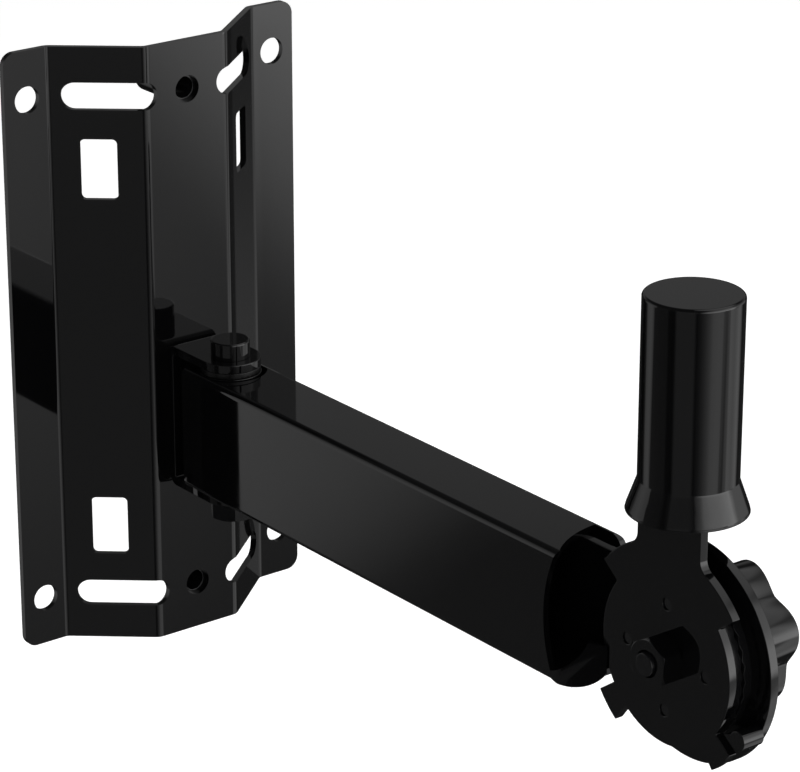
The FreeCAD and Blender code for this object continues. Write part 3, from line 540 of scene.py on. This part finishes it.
def finishedCopy(node, finish, edge, setup):
    piece = nodes[node].copy()
    piece.data = nodes[node].data.copy()
    piece.name = node + "_finished"
    bpy.context.scene.collection.objects.link(piece)
    piece.parent = None
    for key in list(piece.keys()):
        del piece[key]
    piece.data.materials.clear()
    piece.data.materials.append(finishes[finish])
    bpy.ops.object.select_all(action="DESELECT")
    piece.select_set(True)
    bpy.context.view_layer.objects.active = piece
    bpy.ops.object.mode_set(mode="EDIT")
    bpy.ops.mesh.select_all(action="SELECT")
    bpy.ops.mesh.remove_doubles(threshold=setup["mergeReach"] * mm)
    bpy.ops.mesh.dissolve_limited(angle_limit=math.radians(setup["flatAngle"]))
    bpy.ops.object.mode_set(mode="OBJECT")
    if node in reshapes:
        reshapes[node](piece)
    softenEdges(piece, edge, setup["segments"], setup["softAngle"])
    evenNormals(piece, setup)
    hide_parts(node)
    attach(piece, bodyOf[node])


# each node's finish, and the width of its soft edges
looks = {
    "wall_plate": ("blackPaint", 0.35), "hinge_bracket": ("blackPaint", 0.35),
    "arm_tube": ("blackPaint", 0.3), "pivot_sleeve": ("blackPaint", 0.3),
    "arm_disc": ("blackPaint", 0.35), "tilt_plate": ("blackPaint", 0.35),
    "spigot": ("blackPaint", 0.2), "stop_pin": ("blackPaint", 0.3), "pivot_bolt": ("blackPaint", 0.2),
    "pivot_nut": ("blackenedSteel", 0.2), "tilt_nut": ("blackPaint", 0.25),
    "knob_bolt": ("blackenedSteel", 0.7), "knob_washer": ("blackenedSteel", 0.2),
    "weld_nut_top": ("blackenedSteel", 0.2), "weld_nut_bottom": ("blackenedSteel", 0.2),
    "spacer_washer": ("blackNylon", 0.2),
    "arm_tooth_ring": ("castRing", 0.08), "tilt_tooth_ring": ("castRing", 0.08),
}
for node, (finish, edge) in looks.items():
    finishedCopy(node, finish, edge, copySetup)
    print("finished", node)

# Star knob: five broad lobes, thicker and smaller round than the solid, with a sunk cap on the far face and
# a low hub on the near one
knobShape = {
    "lobes": 5, "tipRadius": 25.8, "valleyRadius": 20.6, "lobeAngle": 18, "lobePower": 0.8, "points": 120,
    "farFace": 33.8, "rim": 2.2, "rimSteps": 5, "rimAngle": 40,
    "capRadius": 9.0, "capSink": 1.6, "hubRadius": 14.0, "hubHeight": 1.4, "inset": 4,
}


def lobedRadius(angle, values):
    wave = 0.5 + 0.5 * math.cos(values["lobes"] * (angle - math.radians(values["lobeAngle"])))
    return mix(values["valleyRadius"], values["tipRadius"], wave ** values["lobePower"])


# puts a point at a given radius from the knob's axis
def setRadius(vertex, middle, radius):
    y, z = vertex.co.y - middle[0], vertex.co.z - middle[1]
    scale = radius * mm / math.hypot(y, z)
    vertex.co.y, vertex.co.z = middle[0] + y * scale, middle[1] + z * scale


# a round step in the end that faces this side of X, raised or sunk
def stepEnd(knob, middle, side, radius, rise, values):
    for group in (knob.data.vertices, knob.data.edges):
        for item in group:
            item.select = False
    for face in knob.data.polygons:
        face.select = len(face.vertices) == values["points"] and face.normal.x * side > 0
    bpy.ops.object.mode_set(mode="EDIT")
    bpy.ops.mesh.select_mode(type="FACE")
    bpy.ops.mesh.inset(thickness=values["inset"] * mm)
    bpy.ops.object.mode_set(mode="OBJECT")
    for vertex in knob.data.vertices:
        if vertex.select:
            setRadius(vertex, middle, radius)
    bpy.ops.object.mode_set(mode="EDIT")
    bpy.ops.mesh.extrude_region_move(TRANSFORM_OT_translate={"value": (side * rise * mm, 0, 0)})
    bpy.ops.object.mode_set(mode="OBJECT")


def makeKnob(values):
    middle = boltAxis()
    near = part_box("star_knob")[0][0] / mm + values["hubHeight"]
    far = values["farFace"]
    bpy.ops.object.select_all(action="DESELECT")
    bpy.ops.mesh.primitive_cylinder_add(vertices=values["points"], radius=values["tipRadius"] * mm,
                                        depth=(far - near) * mm, rotation=(0, math.radians(90), 0),
                                        location=((far + near) / 2 * mm, *middle))
    knob = bpy.context.object
    knob.name = "star_knob_finished"
    bpy.ops.object.transform_apply(location=True, rotation=True, scale=True)
    for vertex in knob.data.vertices:
        angle = math.atan2(vertex.co.z - middle[1], middle[0] - vertex.co.y)
        setRadius(vertex, middle, lobedRadius(angle, values))
    stepEnd(knob, middle, 1, values["capRadius"], -values["capSink"], values)
    stepEnd(knob, middle, -1, values["hubRadius"], values["hubHeight"], values)
    knob.data.materials.append(finishes["mouldedKnob"])
    softenEdges(knob, values["rim"], values["rimSteps"], values["rimAngle"])
    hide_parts("star_knob")
    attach(knob, bodyOf["star_knob"])


makeKnob(knobShape)
print("knob made")
